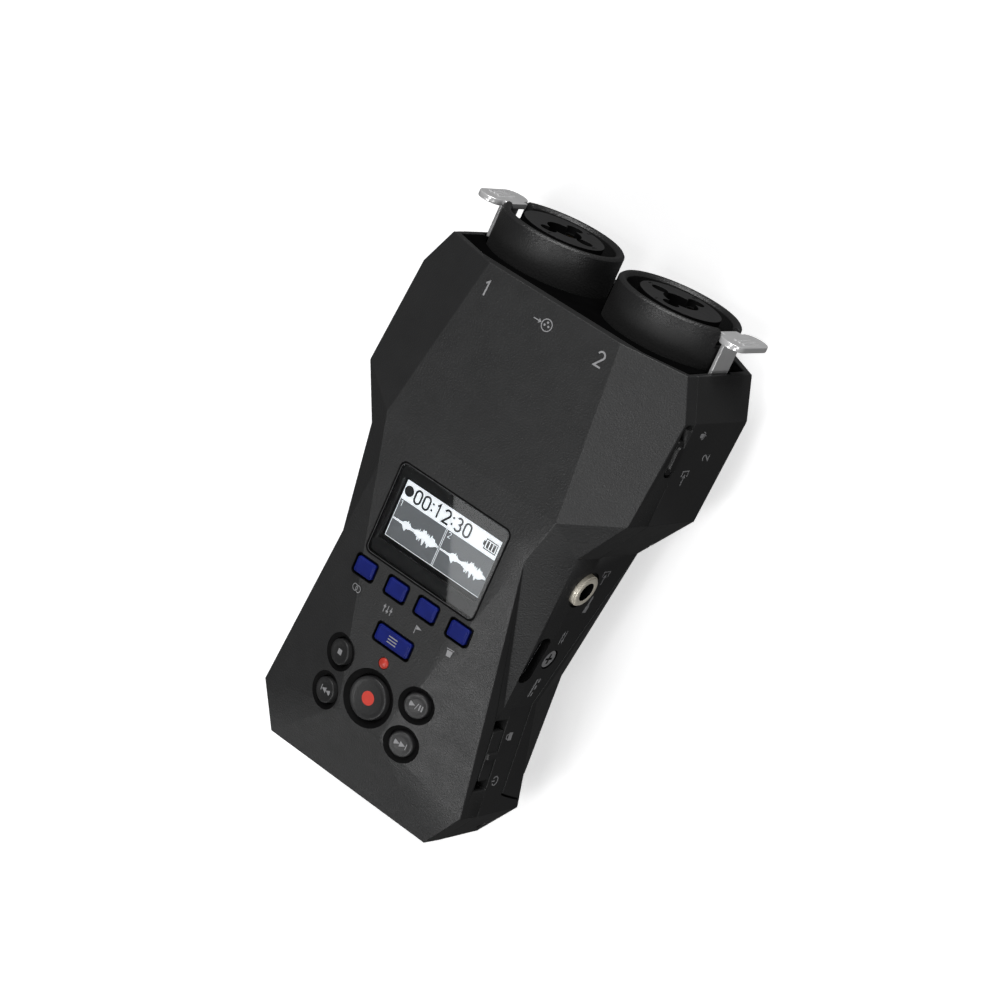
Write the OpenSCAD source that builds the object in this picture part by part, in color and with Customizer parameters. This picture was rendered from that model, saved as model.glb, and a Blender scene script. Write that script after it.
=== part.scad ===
// Pocket field recorder with two combined XLR and jack inputs.
// It lies on its back: X runs across it, Y runs towards the connector end and Z points out of the
// screen face. The origin is below the middle of the overall box, on the plane the back rests on.
// Lengths are in millimetres.

/* [Body] */
// Length of the moulded body, without the connector barrels
body_len = 97; // [96:0.5:98]
// How far the connector barrels stand out of the body
barrel_proud = 7.4; // [6.8:0.1:7.6]
// Width across the shoulders at the front edge
shoulder_w = 59; // [58:0.5:61]
// Width across the waist at the front edge
waist_w = 42; // [41.5:0.5:43]
// Height of the ridge between the two front panels
ridge_z = 36.8; // [36.4:0.2:37.2]
// Height of the joint between the front and rear covers
seam_z = 25.7; // [25.5:0.1:25.9]
// Wall thickness of the covers
wall = 1.8; // [1.6:0.1:2]

/* [Inputs] */
// Distance between the two barrel axes
input_pitch = 26.18; // [26:0.1:26.6]
// Height of the barrel axes
input_z = 16.8; // [16.6:0.1:17]
// Outer radius of a barrel
barrel_r = 11.5; // [11.4:0.1:11.6]
// Radius of the socket that takes an XLR plug's shell
socket_r = 9.9; // [9.7:0.1:10]
// Radius of the contact insert
insert_r = 7.6; // [7.5:0.05:7.9]
// Radius of the 6.35 mm jack hole in the insert
jack_r = 3.25; // [3.2:0.01:3.3]
// Travel of a release lever
lever_travel = 1.2; // [1:0.1:1.2]

/* [Controls] */
// Width and length of a soft key's opening
soft_key = [5, 3.9]; // [3:0.1:6]
// Width and length of the menu key's opening
menu_key_size = [8.5, 3.9]; // [3:0.1:10]
// Gap round a soft key or the menu key
soft_key_gap = 0.45; // [0.3:0.05:0.5]
// Gap round a round key
key_gap = 0.3; // [0.2:0.05:0.4]
// Radius of the record key's disc
record_r = 3.9; // [3.8:0.05:4]
// Radius of a small transport key's disc
transport_r = 2.35; // [2.2:0.05:2.5]
// Width and length of the display window
window = [24.8, 17.6]; // [15:0.2:26]

/* [Power] */
// Radius of an AA cell
cell_r = 7.2; // [7:0.05:7.2]
// Length of an AA cell's can
cell_len = 49.5; // [49:0.5:49.5]

/* [Hidden] */
$fn = 64;
eps = 0.01;

// Ends of the body and the rim of the barrels
base_y = -(body_len + barrel_proud) / 2;
end_y = base_y + body_len;
rim_y = end_y + barrel_proud;

// The two front panels meet at a ridge across the body
ridge_y = end_y - 31.5;
upper_slope = 0.1043;
lower_slope = 0.0193;
panel_tilt = atan(lower_slope);
function upper_z(y) = ridge_z - upper_slope * (y - ridge_y);
function lower_z(y) = ridge_z + lower_slope * (y - ridge_y);
// Height at (x, y) of the plane through three points, and its unit normal
function plane_normal(a, b, c) = let (n = cross(b - a, c - a)) n / norm(n) * sign(n.z);
function plane_z(a, b, c, x, y) =
    let (n = plane_normal(a, b, c)) a.z - (n.x * (x - a.x) + n.y * (y - a.y)) / n.z;

// Corners of the right half of the front, from the connector end down the side and then inwards
shoulder_x = shoulder_w / 2;
waist_x = waist_w / 2;
top_in = [14.6, end_y, upper_z(end_y)];
ridge_out = [19.4, ridge_y, ridge_z];
shoulder_low = [shoulder_x, end_y - 26.8, 32.1];
function flank_z(x, y) = plane_z(top_in, ridge_out, shoulder_low, x, y);
top_out = [shoulder_x - 3.3, end_y, flank_z(shoulder_x - 3.3, end_y)];
shoulder_high = [shoulder_x, end_y - 7.3, flank_z(shoulder_x, end_y - 7.3)];
waist_high = [waist_x + 2.8, end_y - 36.3, 32.5];
panel_side = [16.9, ridge_y - 8.9, lower_z(ridge_y - 8.9)];
waist_low = [waist_x, end_y - 68.2, 28.25];
base_out = [waist_x + 2.7, base_y + 8.2, 30.9];
base_corner = [18.7, base_y, 29.9];
panel_low = [4.55, base_y + 13.8, lower_z(base_y + 13.8)];
facet_n = plane_normal(panel_side, base_out, panel_low);
function facet_z(x, y) = plane_z(panel_side, base_out, panel_low, x, y);

// The side walls lean out a little from the front edge to the seam, then stand upright
draft = 0.05;
function at_seam(p) = [p.x + draft * (p.z - seam_z), p.y, seam_z];
function lowered(p, z) = [at_seam(p).x, p.y, z];
side_line = [top_out, shoulder_high, shoulder_low, waist_high, waist_low, base_out, base_corner];
back_z = [6.8, 7.6, 9.9, 12.9, 17.6, 12.6, 13];
flat_back = [[17.6, end_y], [20, end_y - 7], [20, end_y - 28], [17.5, end_y - 39],
    [14.8, end_y - 68.2], [16.5, base_y + 8], [13.5, base_y + 3]];
seam_line = [for (p = side_line) at_seam(p)];
back_line = [for (i = [0:6]) lowered(side_line[i], back_z[i])];
corners = concat(side_line, [top_in, ridge_out, panel_side, panel_low], seam_line, back_line,
    [for (p = flat_back) [p.x, p.y, 0]]);

// Corners of the right half moved inwards by t, and the same mirrored to the left
function inset(p, t) = [p.x - 1.15 * t, max(base_y + t, min(end_y - t, p.y)),
    p.z > seam_z + eps ? p.z - t : p.z < seam_z - eps ? p.z + t : p.z];
function body_points(t) = let (r = [for (p = corners) inset(p, t)])
    concat(r, [for (p = r) [-p.x, p.y, p.z]]);

// Faces: strips down the side from front edge to seam to back edge to flat back, the front
// facets, and the faces that reach across the middle
half = len(corners);
strips = [for (row = [0, 11, 18], i = [0:5])
    let (a = row, b = row == 0 ? 11 : row + 7) [a + i, b + i, b + i + 1, a + i + 1]];
facets = [[7, 0, 1, 2, 8], [8, 2, 3], [8, 3, 9], [3, 4, 9], [9, 4, 5], [9, 5, 10], [10, 5, 6]];
function other_side(f) = [for (i = [len(f) - 1:-1:0]) f[i] + half];
right_faces = concat(strips, facets);
across = concat([
    [7 + half, 7, 8, 8 + half],
    [8 + half, 8, 9, 10, 10 + half, 9 + half],
    [10 + half, 10, 6, 6 + half],
    [7, 7 + half, half, 11 + half, 18 + half, 25 + half, 25, 18, 11, 0],
    [6 + half, 6, 17, 24, 24 + half, 17 + half],
    [24 + half, 24, 31, 31 + half]
], [for (i = [25:30]) [i + half, i + 1 + half, i + 1, i]]);

module body_form(t = 0) {
    polyhedron(body_points(t), concat(right_faces, [for (f = right_faces) other_side(f)], across),
        convexity = 6);
}

// Places on the body
input_x = input_pitch / 2;
soft_key_x = [-10.95, -3.51, 3.51, 10.95];
soft_key_y = -13.15;
menu_key_y = -21.5;
light_y = -26;
record_y = -33.15;
transport_x = 9.1;
transport_y = [-29.2, -37.1];
window_y = -1.35;
lcd_y = -1.04;
key_wall = 1.2;
board_z = 29;
board_t = 1.4;
jack_y = 1.7;
jack_z = 24.65;
headphone_y = -13.5;
plug_r = 1.8;
bush_r = 3.05;
usb_y = -13.1;
usb_z = 27.4;
side_screw_y = -13.3;
side_screw_z = 22.4;
power_y = -32.2;
power_z = 27.65;
volume_y = -26.9;
volume_z = 25.9;
card_y = 0.8;
card_z = 25;
slider_y = 31;
slider_z = 27.1;
slider_travel = 2.6;
slider_slot = [7.3 + slider_travel, 2.9];
power_slot = [13.5, 3.9];
hinge_y = 12.5;
hinge_z = 1.6;
knuckle_r = 1.5;
pin_r = 0.6;
door_swing = norm([end_y - 85.2 - hinge_y, 19.6 - hinge_z]);
cell_x = 7.35;
cell_z = 9.55;
cell_y0 = -40.2;
tripod_y = 23.6;
tripod_r = 2.55;
tripod_depth = 6.5;
speaker_y = 35.2;
speaker_r = 6.4;
screw_places = [[26.4, 21.5, 12], [20.3, 14.1, 8], [14.5, -48, 8]];
board_screw_places = [[14.3, 10.2], [12.6, -42.6]];

// Stations on the sloping walls: x at the seam, and the way the wall faces
function wall_x(p, q, y) = let (a = at_seam(p), b = at_seam(q))
    a.x + (b.x - a.x) * (y - a.y) / (b.y - a.y);
function wall_turn(p, q) = let (a = at_seam(p), b = at_seam(q)) -atan((b.x - a.x) / (b.y - a.y));
module at_wall(p, q, y, z) {
    translate([wall_x(p, q, y), y, z]) rotate([0, 0, wall_turn(p, q)]) children();
}
module at_shoulder(y, z) { at_wall(shoulder_low, shoulder_high, y, z) children(); }
module at_waist(y, z) { at_wall(waist_low, waist_high, y, z) children(); }
module at_base(y, z) { at_wall(base_out, waist_low, y, z) children(); }

// Stations on the front panels and on the transport keys' facets
module on_panel(x, y) { translate([x, y, lower_z(y)]) rotate([panel_tilt, 0, 0]) children(); }
module on_facet(side, y) {
    mirror([side < 0 ? 1 : 0, 0, 0]) translate([transport_x, y, facet_z(transport_x, y)])
        rotate([0, acos(facet_n.z), atan2(facet_n.y, facet_n.x)]) children();
}
module both_sides() { for (m = [0, 1]) mirror([m, 0, 0]) children(); }
module facet_stations() { for (side = [-1, 1], y = transport_y) on_facet(side, y) children(); }

// Plates, slots and rounded blocks
module rounded_rect(size, r) {
    for (turn = [0, 1])
        square([size.x - 2 * r * turn, size.y - 2 * r * (1 - turn)], center = true);
    for (sx = [-1, 1], sy = [-1, 1]) translate([sx * (size.x / 2 - r), sy * (size.y / 2 - r)]) circle(r);
}
module block(size, r, z0, z1) {
    translate([0, 0, z0]) linear_extrude(z1 - z0) rounded_rect(size, r);
}
// A block that lies across a wall: size is along Y and Z, x0 and x1 along the wall's normal
module wall_block(size, r, x0, x1) {
    translate([x0, 0, 0]) rotate([90, 0, 90]) linear_extrude(x1 - x0) rounded_rect(size, r);
}
module rod(r, x0, x1) { translate([x0, 0, 0]) rotate([0, 90, 0]) cylinder(h = x1 - x0, r = r); }
module along_y(r, y0, y1) { translate([0, y0, 0]) rotate([-90, 0, 0]) cylinder(h = y1 - y0, r = r); }
module tube_y(outer, inner, y0, y1) {
    difference() {
        along_y(outer, y0, y1);
        along_y(inner, y0 - 1, y1 + 1);
    }
}
module span(lo, hi) { translate(lo) cube(hi - lo); }

// Outline of the opening in the top end that both covers share, grown by g
plate_corners = [[24.8, 7.6], [25.2, 27.3], [17.5, 30.8], [-17.5, 30.8], [-25.2, 27.3],
    [-24.8, 7.6], [-18.2, 3.2], [18.2, 3.2]];
module plate_outline(g) {
    middle = 17;
    polygon([for (p = plate_corners) [p.x + sign(p.x) * g, p.y + sign(p.y - middle) * g]]);
}
module end_slab(g, y0, y1) {
    translate([0, y1, 0]) rotate([90, 0, 0]) linear_extrude(y1 - y0) plate_outline(g);
}

// Region that the battery door takes from the rear cover, grown by g
door_edge = [[base_y + 4, 19.7], [-23.5, 19], [-4, 15.6], [hinge_y, 12]];
module door_region(g) {
    intersection() {
        rotate([90, 0, 90]) translate([0, 0, -40]) linear_extrude(80)
            polygon(concat([[hinge_y + 1, -5], [base_y - 2, -5]], [for (p = door_edge) [p.x, p.y + g]]));
        translate([0, hinge_y, hinge_z]) rod(door_swing + 1.4 * g, -40, 40);
        span([-40, base_y, -5], [40, hinge_y - 1.95 + g, 30]);
    }
}
module at_hinge() { translate([0, hinge_y, hinge_z]) children(); }
knuckle_in = 8;
knuckle_out = 17.5;

// Openings that both covers share along the seam
module bush_opening() {
    rod(bush_r + 0.15, -6, 2);
    rod(bush_r + 0.6, -0.5, 2);
}
module seam_openings() {
    at_waist(jack_y, jack_z) bush_opening();
    mirror([1, 0, 0]) at_waist(headphone_y, jack_z) bush_opening();
    mirror([1, 0, 0]) at_base(volume_y, volume_z) wall_block([7.5, 3.9], 1.2, -6, 3);
    mirror([1, 0, 0]) at_waist(card_y, card_z) {
        wall_block([12.6, 6.8], 0.4, -1.5, 3);
        wall_block([11.4, 3], 0.3, -6, 3);
        translate([-0.75, -6.3, -2.7]) along_y(1, 0, 12.6);
    }
    end_slab(0.25, end_y - wall - 1, end_y + 1);
    both_sides() span([24, end_y - 6, input_z - 3.4], [25.85, end_y + 1, input_z + 3.4]);
    both_sides() at_shoulder(slider_y + slider_travel / 2, slider_z) wall_block(slider_slot, 1.2, -6, 3);
    at_base(power_y, power_z) wall_block(power_slot, 0.3, -6, 3);
    at_waist(usb_y, usb_z) wall_block([9.4, 3.6], 1.5, -6, 3);
}

module front_cover() color([0.16, 0.16, 0.165]) {
    difference() {
        intersection() {
            body_form();
            span([-50, -80, seam_z], [50, 80, 60]);
        }
        difference() {
            body_form(wall);
            // Posts that the case screws and the board screws bite into
            for (p = screw_places) both_sides() translate([p.x, p.y, 20]) cylinder(h = 30, r = 1.9);
            for (p = board_screw_places) both_sides()
                translate([p.x, p.y, board_z + board_t]) cylinder(h = 20, r = 1.8);
        }
        for (p = screw_places) both_sides() translate([p.x, p.y, 20]) cylinder(h = 8.5, r = 1);
        for (p = board_screw_places) both_sides()
            translate([p.x, p.y, board_z - 1]) cylinder(h = p.y > 0 ? 4.5 : 2.6, r = 0.8);
        // Window pocket and the opening behind it
        on_panel(0, window_y) block(window + [0.6, 0.6], 1.4, -1, 2);
        on_panel(0, lcd_y) block([22.6, 12.4], 0.4, -6, 2);
        // Key openings, each with a thinner wall round it
        for (x = soft_key_x) on_panel(x, soft_key_y) {
            block(soft_key, 0.7, -6, 2);
            block(soft_key + [1.8, 1.8], 0.8, -5, -key_wall);
        }
        on_panel(0, menu_key_y) {
            block(menu_key_size, 0.7, -6, 2);
            block(menu_key_size + [1.8, 1.8], 0.8, -5, -key_wall);
        }
        on_panel(0, light_y) translate([0, 0, -5]) cylinder(h = 7, r = 1.1);
        on_panel(0, record_y) key_dish(record_r, 5.25);
        facet_stations() key_dish(transport_r, 3.4);
        seam_openings();
    }
}
// Dished ring, hole and inner pocket for a round key
module key_dish(r, dish_r) {
    translate([0, 0, -5]) cylinder(h = 7, r = r + key_gap);
    translate([0, 0, -5]) cylinder(h = 5 - key_wall, r = r + 1.2);
    difference() {
        translate([0, 0, -0.7]) cylinder(h = 3, r = dish_r);
        rotate_extrude() polygon([[dish_r - 0.9, -0.75], [dish_r + 0.01, -0.75], [dish_r + 0.01, 0]]);
    }
}

module rear_cover() color([0.12, 0.12, 0.125]) {
    difference() {
        union() {
            difference() {
                intersection() {
                    body_form();
                    span([-50, -80, -1], [50, 80, seam_z]);
                }
                body_form(wall);
                door_region(0.25);
            }
            intersection() {
                body_form(1.75);
                battery_bay();
            }
            intersection() {
                body_form(eps);
                bosses();
            }
        }
        // Room for the hinge, and for the door's edge as it swings
        span([-knuckle_out - 0.3, hinge_y - 2, -1], [knuckle_out + 0.3, hinge_y + 2.1, hinge_z + 1.8]);
        span([-20.6, hinge_y - 2, -1], [20.6, hinge_y - 0.9, 1.2]);
        for (p = screw_places) both_sides() translate([p.x, p.y, -1]) {
            cylinder(h = p.z + 1, r = 2.15);
            cylinder(h = 40, r = 1.1);
        }
        at_waist(side_screw_y, side_screw_z) {
            rod(2, -0.9, 2);
            rod(0.9, -5, 2);
        }
        // Well for the tripod insert, speaker holes and finger notch
        translate([0, tripod_y, -1]) cylinder(h = tripod_depth + 1, r = 4);
        for (ring = [0:2]) for (i = [0:max(0, ring * 6 - 1)])
            rotate_about(speaker_y, i * 60 / max(1, ring))
                translate([ring * 2.1, 0, -1]) cylinder(h = 3, r = 0.55);
        translate([0, base_y + 9.2, -0.4]) cylinder(h = 1.3, r = 6);
        // Strap slot: a ring cut round the corner
        translate([at_seam(base_corner).x, base_y, 15.8])
            rotate_extrude() translate([3.4, 0]) circle(1.1);
        seam_openings();
    }
    // Hinge barrel on both sides of the door's own knuckle
    intersection() {
        body_form();
        difference() {
            both_sides() at_hinge() {
                rod(knuckle_r, knuckle_in + 0.25, knuckle_out);
                span([knuckle_in + 0.25, 0, 0], [knuckle_out, 2.2, knuckle_r]);
                span([knuckle_in + 0.25, 1.4, 0.5], [knuckle_out, 2.3, 3.5]);
            }
            at_hinge() rod(pin_r, -15, 15);
        }
    }
}
// Bay for the cells: roof, side rails and end walls
module battery_bay() {
    bay_y0 = cell_y0 - 3;
    bay_y1 = hinge_y + 0.6;
    span([-21, bay_y0, 17.4], [21, bay_y1, 18.6]);
    both_sides() span([15.2, bay_y0, 9.8], [16.3, bay_y1, 18]);
    span([-15, bay_y0, 1], [15, bay_y0 + 1.2, 18]);
    span([-17, bay_y1 - 1.5, 4.2], [17, bay_y1, 18]);
}
// Screw towers, the sleeve round the tripod insert and the corner block for the strap slot
module bosses() {
    for (p = screw_places) both_sides() translate([p.x, p.y, 0]) {
        cylinder(h = seam_z, r = 1.9);
        cylinder(h = p.z + 1.2, r = 2.9);
    }
    at_waist(side_screw_y, side_screw_z) rod(2.2, -5.5, -1);
    translate([0, tripod_y, 0]) cylinder(h = tripod_depth + 1, r = 5);
    span([13.5, base_y + eps, 11.5], [22, base_y + 7, 20]);
}
module rotate_about(y, angle) { translate([0, y, 0]) rotate([0, 0, angle]) children(); }

module end_plate() color([0.1, 0.1, 0.105])
    difference() {
        union() {
            end_slab(0, end_y - wall, end_y);
            intersection() {
                end_slab(0.9, end_y - wall - 0.9, end_y - wall);
                translate([0, 0.1, 0]) body_form(wall + 0.1);
            }
        }
        for (s = [-1, 1]) translate([s * input_x, 0, input_z])
            along_y(barrel_r + 0.15, end_y - 4, end_y + 1);
        both_sides() span([24.2, end_y - 4, input_z - 3.4], [30, end_y + 1, input_z + 3.4]);
    }

module battery_door() color([0.12, 0.12, 0.125]) {
    difference() {
        intersection() {
            body_form();
            door_region(0);
        }
        body_form(1.5);
        at_hinge() rod(knuckle_r + 0.25, -40, 40);
        // Clearance for the finger notch's lip
        translate([0, base_y + 9.2, -0.4]) cylinder(h = 1, r = 6);
    }
    difference() {
        at_hinge() union() {
            rod(knuckle_r, -knuckle_in, knuckle_in);
            span([-knuckle_in, -3, -hinge_z], [knuckle_in, 0, -0.1]);
        }
        at_hinge() rod(pin_r + 0.05, -9, 9);
    }
}
module door_hinge_pin() color([0.7, 0.7, 0.72]) at_hinge() rod(pin_r, -14.5, 14.5);

module display_window() color([0.03, 0.03, 0.035])
    on_panel(0, window_y) block(window, 1.2, -1, 0);
module lcd_panel() color([0.8, 0.84, 0.86])
    on_panel(0, lcd_y) block([23.2, 14.6], 0.3, -4, -1.95);
module lcd_holder() color([0.25, 0.25, 0.26])
    on_panel(0, lcd_y) difference() {
        block([25.4, 16.6], 0.6, -5.7, -2.4);
        block([23.3, 14.7], 0.3, -4.02, 0);
        block([20, 11], 0.3, -8, 0);
    }

module main_board() color([0.05, 0.22, 0.12])
    difference() {
        union() {
            translate([0, 0, board_z]) linear_extrude(board_t)
                polygon([[-16.5, 12], [16.5, 12], [16.5, -38], [13.8, -44.2],
                    [-13.8, -44.2], [-16.5, -38]]);
            span([-5, -12, board_z - 1.2], [5, -2, board_z]);
            span([-9, -30, board_z - 1], [-2, -22, board_z]);
            span([3, -40, board_z - 1.6], [9, -36, board_z]);
        }
        for (p = board_screw_places) both_sides()
            translate([p.x, p.y, board_z - 1]) cylinder(h = 4, r = 0.9);
    }
module input_board() color([0.05, 0.22, 0.12])
    span([-21.5, 17.2, 5.6], [21.5, 18.5, 27.5]);

// Keys: a cap through the cover, on a flange that keeps it in
module square_key(size) {
    cap = size - [2 * soft_key_gap, 2 * soft_key_gap];
    block(cap, 0.5, -2, 0.15);
    block(cap - [0.5, 0.5], 0.4, 0, 0.3);
    block(size + [0.9, 0.9], 0.5, -2.1, -key_wall - 0.3);
}
module round_key(r, rise) {
    flange_z = -key_wall - 0.3;
    rotate_extrude() polygon([[0, -2.1], [r + 0.8, -2.1], [r + 0.8, flange_z], [r, flange_z],
        [r, rise - 0.25], [r - 0.25, rise], [r - 0.55, rise], [r - 1, rise - 0.15], [0, rise - 0.15]]);
}
module soft_keycap(i) color([0.1, 0.12, 0.42]) on_panel(soft_key_x[i], soft_key_y) square_key(soft_key);
module soft_key_1() soft_keycap(0);
module soft_key_2() soft_keycap(1);
module soft_key_3() soft_keycap(2);
module soft_key_4() soft_keycap(3);
module menu_key() color([0.1, 0.12, 0.42]) on_panel(0, menu_key_y) square_key(menu_key_size);
module record_key() color([0.2, 0.2, 0.205]) on_panel(0, record_y) round_key(record_r, 0.2);
module transport_key(side, y) color([0.2, 0.2, 0.205]) on_facet(side, y) round_key(transport_r, 0.2);
module stop_key() transport_key(-1, transport_y[0]);
module rewind_key() transport_key(-1, transport_y[1]);
module play_key() transport_key(1, transport_y[0]);
module forward_key() transport_key(1, transport_y[1]);
// One switch on the board below each key, clear of the key at full travel
module tact_switches() color([0.6, 0.6, 0.62]) {
    switch_z = board_z + board_t;
    places = concat([for (x = soft_key_x) [x, soft_key_y, 2.6]],
        [[0, menu_key_y, 2.6], [0, record_y, 2.2]],
        [for (s = [-1, 1], y = transport_y) [s * transport_x, y, 0.9]]);
    for (p = places) translate([p.x, p.y, switch_z]) {
        linear_extrude(p.z * 0.7) rounded_rect([3.4, 3], 0.3);
        cylinder(h = p.z, r = 0.9);
    }
}
module record_light() color([0.75, 0.05, 0.03]) on_panel(0, light_y) {
    translate([0, 0, -2.6]) cylinder(h = 2.6, r = 0.95);
    translate([0, 0, -3.2]) cylinder(h = 1, r = 1.5);
    intersection() {
        translate([0, 0, -1]) sphere(1.4);
        translate([0, 0, -0.5]) cylinder(h = 2, r = 0.95);
    }
}

// Inputs. Input 1 is the mirror image of input 2.
notch_half = 3.3;
lever_half = 2.9;
lever_in = 24.75;
lever_out = 25.4;
module at_input() { translate([input_x, 0, input_z]) children(); }
module input_housing() at_input() {
    difference() {
        union() {
            rotate([-90, 0, 0]) rotate_extrude() polygon([[0, 18.6], [barrel_r - 0.9, 18.6],
                [barrel_r - 0.9, end_y - 2.8], [barrel_r, end_y - 2.8], [barrel_r, rim_y - 0.45],
                [barrel_r - 0.45, rim_y], [0, rim_y]]);
            intersection() {
                along_y(12.4, end_y - 4.1, end_y - 2.8);
                span([-10.9, end_y - 5, -12], [10.9, end_y, 12]);
            }
        }
        // Socket with a chamfered mouth, then the hole that holds the insert
        along_y(socket_r, 39.2, rim_y + 1);
        translate([0, rim_y - 0.6, 0]) rotate([-90, 0, 0])
            cylinder(h = 0.6 + eps, r1 = socket_r, r2 = socket_r + 0.6);
        along_y(insert_r + 0.05, 10, 60);
        // Notch in the rim for the lever's neck, flat for its strip and slot for its tooth
        span([5, rim_y - 2.2 - lever_travel, -notch_half], [20, rim_y + 1, notch_half]);
        span([lever_in - 0.45 - input_x, 28, -notch_half], [20, rim_y + 1, notch_half]);
        span([5, 37.6, -notch_half], [20, 41.2, notch_half]);
    }
}
// Contact holes: two beside the jack hole and one towards the middle of the recorder
contact_places = [[4.4, 82], [4.4, -82], [4.6, 180]];
module at_contacts() {
    for (p = contact_places) rotate([0, -p[1], 0]) translate([p[0], 0, 0]) children();
}
module input_insert() at_input() difference() {
    along_y(insert_r, 19.6, rim_y - 0.25);
    along_y(jack_r, 22, rim_y + 1);
    at_contacts() along_y(1.1, 10, rim_y + 1);
    at_contacts() along_y(1.5, rim_y - 1.6, rim_y + 1);
}
module input_contacts() at_input() at_contacts() difference() {
    along_y(1.02, 18.5, rim_y - 1.9);
    along_y(0.75, 38, rim_y + 1);
}
module lever() at_input() {
    // Thumb tab round the outside of the barrel, with a neck through the rim notch
    translate([0, rim_y - 0.4, 0]) rotate([90, 0, 0]) linear_extrude(1.1) {
        difference() {
            translate([13.95, -0.1]) rounded_rect([4.9, 12], 2.4);
            circle(barrel_r + 0.35);
        }
        translate([10.4, -lever_half]) square([3, 2 * lever_half]);
    }
    // Strip down the outside of the barrel, with the tooth that holds a plug
    span([lever_in - input_x, 31, -lever_half], [lever_out - input_x, rim_y - 0.5, lever_half]);
    span([9.1, 39.4, -2.2], [lever_in + 0.2 - input_x, 40.7, 2.2]);
}
module lever_coil() translate([lever_in + 0.35, 0, input_z]) {
    // Seven turns between the lever's foot and the housing's ledge
    for (i = [0:6]) translate([0, 25.1 + i * 0.9, 0])
        rotate([-90, 0, 0]) rotate_extrude() translate([1.2, 0]) circle(0.2);
    tube_y(1.3, 1.1, 24.9, 30.9);
}
module xlr_housing_1() color([0.09, 0.09, 0.095]) mirror([1, 0, 0]) input_housing();
module xlr_housing_2() color([0.09, 0.09, 0.095]) input_housing();
module xlr_insert_1() color([0.2, 0.2, 0.205]) mirror([1, 0, 0]) input_insert();
module xlr_insert_2() color([0.2, 0.2, 0.205]) input_insert();
module xlr_contacts_1() color([0.8, 0.65, 0.3]) mirror([1, 0, 0]) input_contacts();
module xlr_contacts_2() color([0.8, 0.65, 0.3]) input_contacts();
module release_lever_1() color([0.8, 0.8, 0.82]) mirror([1, 0, 0]) lever();
module release_lever_2() color([0.8, 0.8, 0.82]) lever();
module lever_spring_1() color([0.6, 0.6, 0.62]) mirror([1, 0, 0]) lever_coil();
module lever_spring_2() color([0.6, 0.6, 0.62]) lever_coil();

// Slide switches for the input level, one on each shoulder
module level_slider() at_shoulder(slider_y, slider_z) {
    wall_block([6.4, 2.3], 0.9, -2.4, -0.15);
    difference() {
        wall_block([4.6, 1.9], 0.8, -1, 0.35);
        for (i = [-1, 0, 1]) translate([0.35, i * 1.1 - 0.2, -2]) cube([0.3, 0.4, 4]);
    }
}
module level_switch() at_shoulder(slider_y + slider_travel / 2, slider_z)
    translate([-5.6, -4.4, -1.5]) cube([2.8, 8.8, 2.6]);
module input_slider_1() color([0.1, 0.1, 0.105]) mirror([1, 0, 0]) level_slider();
module input_slider_2() color([0.1, 0.1, 0.105]) level_slider();
module input_switch_1() color([0.5, 0.5, 0.52]) mirror([1, 0, 0]) level_switch();
module input_switch_2() color([0.5, 0.5, 0.52]) level_switch();

// 3.5 mm jacks: a moulded body under the board and a metal bush through the wall
module small_jack() difference() {
    union() {
        span([-13.2, -3.4, -3.2], [-2.2, 3.4, 2.4]);
        span([-13.2, -3.4, 0], [-6.8, 3.4, board_z - jack_z]);
    }
    rod(plug_r, -12.4, 2);
}
module small_bush() difference() {
    union() {
        rod(bush_r, -2.2, 0.35);
        rod(bush_r - 0.25, 0.2, 0.6);
    }
    rod(plug_r, -4, 2);
}
module line_in_jack() color([0.06, 0.06, 0.065]) at_waist(jack_y, jack_z) small_jack();
module line_in_bush() color([0.75, 0.72, 0.66]) at_waist(jack_y, jack_z) small_bush();
module headphone_jack() color([0.06, 0.06, 0.065])
    mirror([1, 0, 0]) at_waist(headphone_y, jack_z) small_jack();
module headphone_bush() color([0.75, 0.72, 0.66])
    mirror([1, 0, 0]) at_waist(headphone_y, jack_z) small_bush();
module usb_port() color([0.65, 0.65, 0.67]) at_waist(usb_y, usb_z) {
    difference() {
        wall_block([8.94, 3.2], 1.55, -7.6, -1.3);
        wall_block([8.34, 2.6], 1.25, -7, 1);
    }
    span([-7.2, -3.35, -0.33], [-2, 3.35, 0.33]);
}

module power_slider() color([0.1, 0.1, 0.105]) at_base(power_y, power_z) {
    wall_block([9.4, 3.3], 0.3, -2.4, -0.05);
    wall_block([1.1, 3], 0.25, -1, 0.45);
}
module power_switch() color([0.5, 0.5, 0.52]) at_base(power_y, power_z)
    translate([-7.4, -4.6, -2.2]) cube([4.6, 9.2, 3.5]);
module volume_rocker() color([0.1, 0.1, 0.105]) mirror([1, 0, 0]) at_base(volume_y, volume_z) {
    wall_block([6.8, 3.2], 1, -1.4, 1.2);
    wall_block([6.4, 2.6], 0.9, -1.9, 1.35);
}
module volume_switch() color([0.5, 0.5, 0.52]) mirror([1, 0, 0]) at_base(volume_y, volume_z)
    translate([-6.4, -3.4, -1.6]) cube([3.9, 6.8, 4.6]);
module card_socket() color([0.7, 0.7, 0.72]) mirror([1, 0, 0]) at_waist(card_y, card_z + 1.8)
    difference() {
        translate([-17, -6, -0.8]) cube([14, 12, 2]);
        translate([-16, -5.5, -0.4]) cube([20, 11, 0.9]);
    }
// Flap over the card socket, on a rolled edge that it turns about
module card_cover() color([0.12, 0.12, 0.125]) mirror([1, 0, 0]) at_waist(card_y, card_z) {
    difference() {
        wall_block([12.1, 6.3], 0.3, -1.2, -0.02);
        translate([-2, -8, -4]) cube([4, 16, 1.3]);
    }
    translate([-0.75, -6.05, -2.7]) along_y(0.7, 0, 12.1);
    translate([-0.15, -1.5, 2.2]) cube([0.4, 3, 0.5]);
}

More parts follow.
